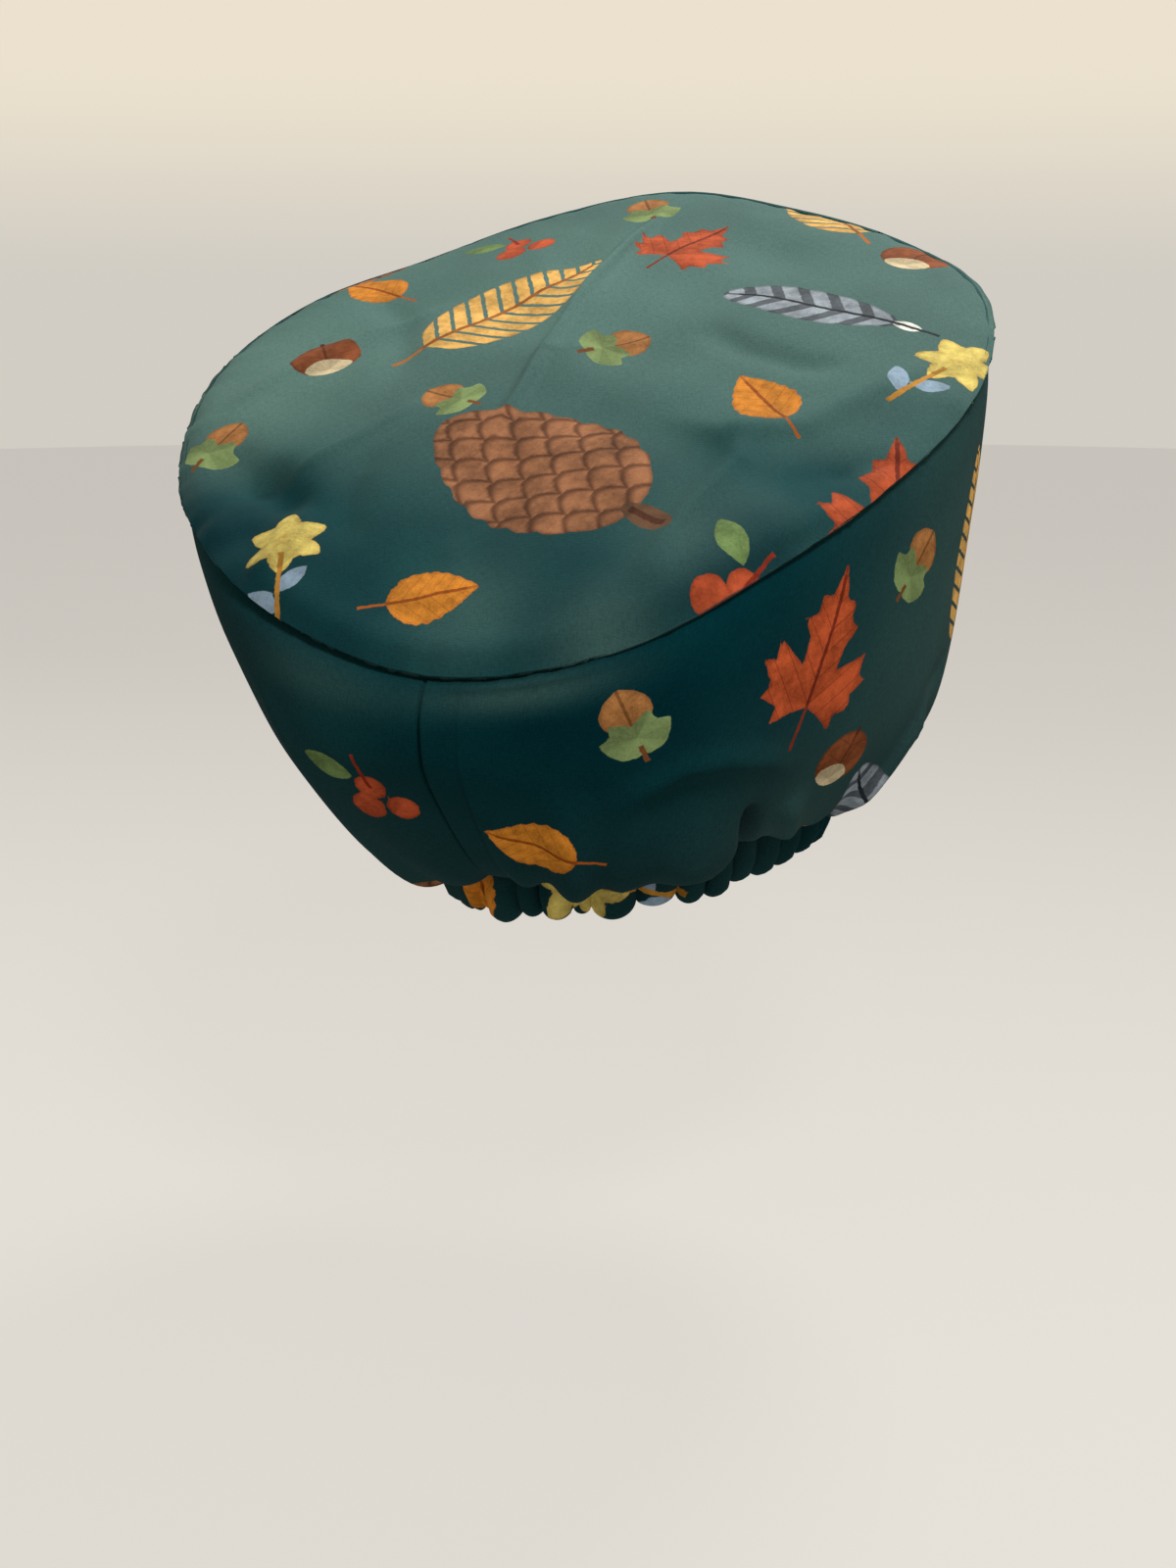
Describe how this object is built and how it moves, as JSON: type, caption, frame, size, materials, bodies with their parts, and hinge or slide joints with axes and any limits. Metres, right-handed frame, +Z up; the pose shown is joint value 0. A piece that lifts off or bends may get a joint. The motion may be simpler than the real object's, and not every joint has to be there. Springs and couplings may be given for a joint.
{
  "type": "scrub cap",
  "caption": "Bouffant-style cloth scrub cap: tilted oval crown, tall full side band with a back seam, elastic casing gathered at the nape and a plain front hem.",
  "frame": {"origin": "inside of the crown, where the top of the head touches it", "axes": "+Z up, wearer's face towards -Y, wearer's left towards +X"},
  "size_m": [0.2723, 0.2583, 0.2451],
  "materials": {
    "printed_cotton": "matte printed cotton, dark green ground"
  },
  "bodies": {
    "root": {"crown_panel": "printed_cotton", "side_band": "printed_cotton", "back_casing": "printed_cotton", "front_hem": "printed_cotton"}
  },
  "joints": []
}
